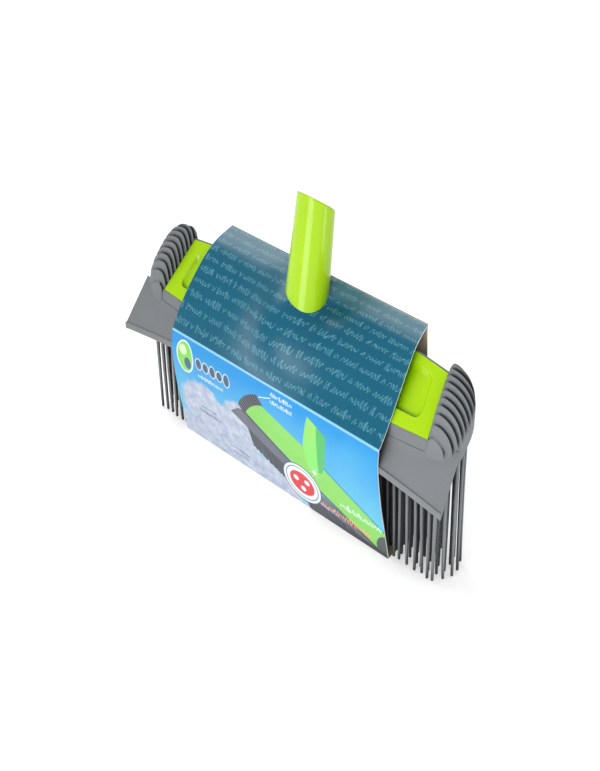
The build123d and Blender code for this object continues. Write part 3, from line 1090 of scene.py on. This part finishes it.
def printed_row(distance):
    """Where the print of the top panel falls, so many millimetres up from the crease."""
    if distance <= ROW_PLAIN:
        return distance
    spread_out = ROW_START ** 2 - 4 * ROW_CLOSING * (distance - ROW_FIRST)
    rows = (ROW_START - sqrt(max(0.0, spread_out))) / (2 * ROW_CLOSING) + 1.5
    return max(ROW_PLAIN, rows * ROW_PITCH)


def card_sleeve():
    """The band: a printed outside, a bare inside and white cut edges."""
    outline, distance, bulge = card_outline()
    count = len(outline)
    outer = []
    inner = []
    uvs = []
    for index in range(CARD_COLUMNS):
        s = -1 + 2 * index / (CARD_COLUMNS - 1)
        for number, point in enumerate(outline):
            before = outline[number - 1]
            after = outline[(number + 1) % count]
            along = (after - before).normalized()
            out = Vector((-along.y, along.x))
            half = CARD_HALF - CARD_LEAN_Y * point.x - CARD_LEAN_Z * point.y
            x = CARD_CENTRE_X + s * half
            place = point + out * card_bulge(x, bulge[number])
            outer.append((x, place.x, place.y))
            core = place - out * CARD_THICKNESS
            inner.append((x, core.x, core.y))
            uvs.append((x, distance[number]))
    faces = grid_faces(CARD_COLUMNS, count, wrap=True)
    total = len(outer)
    inside = [tuple(v + total for v in reversed(face)) for face in faces]
    edges = []
    for number in range(count):
        after = (number + 1) % count
        edges.append((number, after, after + total, number + total))
        last = (CARD_COLUMNS - 1) * count
        edges.append((last + after, last + number, last + number + total, last + after + total))
    kinds = [0] * len(faces) + [1] * len(inside) + [2] * len(edges)
    sleeve = mesh_piece("card_sleeve_print", outer + inner, faces + inside + edges,
                        [CARD_PRINT, CARD_INSIDE, CARD_CORE], ["card_sleeve"], 30.0,
                        kinds, uvs + uvs)
    cut_socket_hole(sleeve)


def cut_socket_hole(sleeve):
    """Should cut the hole that the socket stands in. Known fault: it leaves the card whole.

    The cutter's faces are reversed, which turns it inside out; unreversed, they cut the hole.
    """
    sides = 64
    radius = SOCKET_BASE + HOLE_GAP
    points = []
    for up in (-60.0, 60.0):
        ring = [socket_point(2 * pi * i / sides, radius, up) for i in range(sides)]
        points += [(point + Vector((HOLE_SHIFT, 0, 0))) * MM for point in ring]
    mesh = bpy.data.meshes.new("hole_cutter")
    mesh.from_pydata(points, [], [tuple(reversed(f)) for f in tube_faces(2, sides)])
    mesh.materials.append(CARD_CORE)
    cutter = bpy.data.objects.new("hole_cutter", mesh)
    bpy.context.scene.collection.objects.link(cutter)
    modifier = sleeve.modifiers.new("hole", "BOOLEAN")
    modifier.operation = "DIFFERENCE"
    modifier.solver = "EXACT"
    modifier.material_mode = "TRANSFER"
    modifier.object = cutter
    bpy.context.view_layer.update()
    graph = bpy.context.evaluated_depsgraph_get()
    cut = bpy.data.meshes.new_from_object(sleeve.evaluated_get(graph))
    sleeve.modifiers.clear()
    sleeve.data = cut
    bpy.data.objects.remove(cutter)


# ---------------------------------------------------------------- studio

def camera():
    """The view from the front right and above, looking down on the deck."""
    place = Vector((0.5641, -0.5389, 0.6534))
    right = Vector((0.70051, 0.71342, -0.01775))
    up = Vector((-0.40941, 0.42213, 0.80882))
    back = right.cross(up)
    data = bpy.data.cameras.new("camera")
    data.lens = 63.04
    data.sensor_width = 36.0
    data.clip_start = 0.05
    viewer = bpy.data.objects.new("camera", data)
    turn = Matrix((right, up, back)).transposed()
    viewer.matrix_world = Matrix.Translation(place) @ turn.to_4x4()
    bpy.context.scene.collection.objects.link(viewer)
    bpy.context.scene.camera = viewer


def floor_piece():
    """A wide white studio floor with a faint glow of its own, so it photographs pure white."""
    made = Material("studio_white")
    soft = made.noise(made.object_point(), 3.0, 2.0)
    made.link(made.mix((0.78, 0.78, 0.78), (0.82, 0.82, 0.82), soft), "Base Color")
    made.set(Roughness=0.9, Specular_IOR_Level=0.1)
    made.set(Emission_Color=(1, 1, 1, 1), Emission_Strength=0.42)
    size = 6.0
    corners = [(-size, -size, 0), (size, -size, 0), (size, size, 0), (-size, size, 0)]
    mesh = bpy.data.meshes.new("studio_floor")
    mesh.from_pydata(corners, [], [(0, 1, 2, 3)])
    mesh.materials.append(made.material)
    piece = bpy.data.objects.new("studio_floor", mesh)
    bpy.context.scene.collection.objects.link(piece)


def area_light(name, place, target, size, radiance, mirrored=True):
    """A soft box of the given brightness, hidden from the camera and, if asked, from reflections."""
    data = bpy.data.lights.new(name, "AREA")
    data.shape = "RECTANGLE"
    data.size, data.size_y = size
    data.energy = radiance * pi * size[0] * size[1]
    lamp = bpy.data.objects.new(name, data)
    lamp.location = place
    lamp.rotation_euler = (Vector(target) - Vector(place)).to_track_quat("-Z", "Y").to_euler()
    lamp.visible_camera = False
    lamp.visible_glossy = mirrored
    bpy.context.scene.collection.objects.link(lamp)


def studio():
    """Even white surroundings and soft boxes above, in front and on the right."""
    bpy.context.scene.view_settings.view_transform = "Standard"
    world = bpy.data.worlds.new("studio")
    world.use_nodes = True
    background = world.node_tree.nodes["Background"]
    background.inputs["Color"].default_value = (1, 1, 1, 1)
    background.inputs["Strength"].default_value = 0.4
    bpy.context.scene.world = world
    middle = (0, 0, 0.13)
    area_light("key_top_left", (-0.8, 0.02, 1.2), middle, (1.0, 0.9), 3.8)
    area_light("camera_side", (0.75, -1.0, 0.8), middle, (0.7, 0.7), 2.7, False)
    area_light("front_low", (0.35, -1.2, 0.3), middle, (0.7, 0.4), 1.6)
    area_light("front_strip", (0.15, -0.46, 0.125), middle, (0.26, 0.25), 4.0)
    area_light("right_strip", (0.31, 0.08, 0.06), middle, (0.06, 0.12), 3.0)
    area_light("back_fill", (-0.4, 1.3, 0.7), middle, (0.8, 0.6), 1.5, False)
    area_light("right_side", (1.1, 0.1, 0.5), middle, (0.5, 0.6), 1.6)


random.seed(7)
camera()
deck_plate()
handle_socket()
rubber_body()
squeegee_lip()
end_cap(-1, "left")
end_cap(1, "right")
for row_number in range(len(ROW_BRISTLES)):
    bristle_row(row_number)
card_sleeve()
floor_piece()
studio()
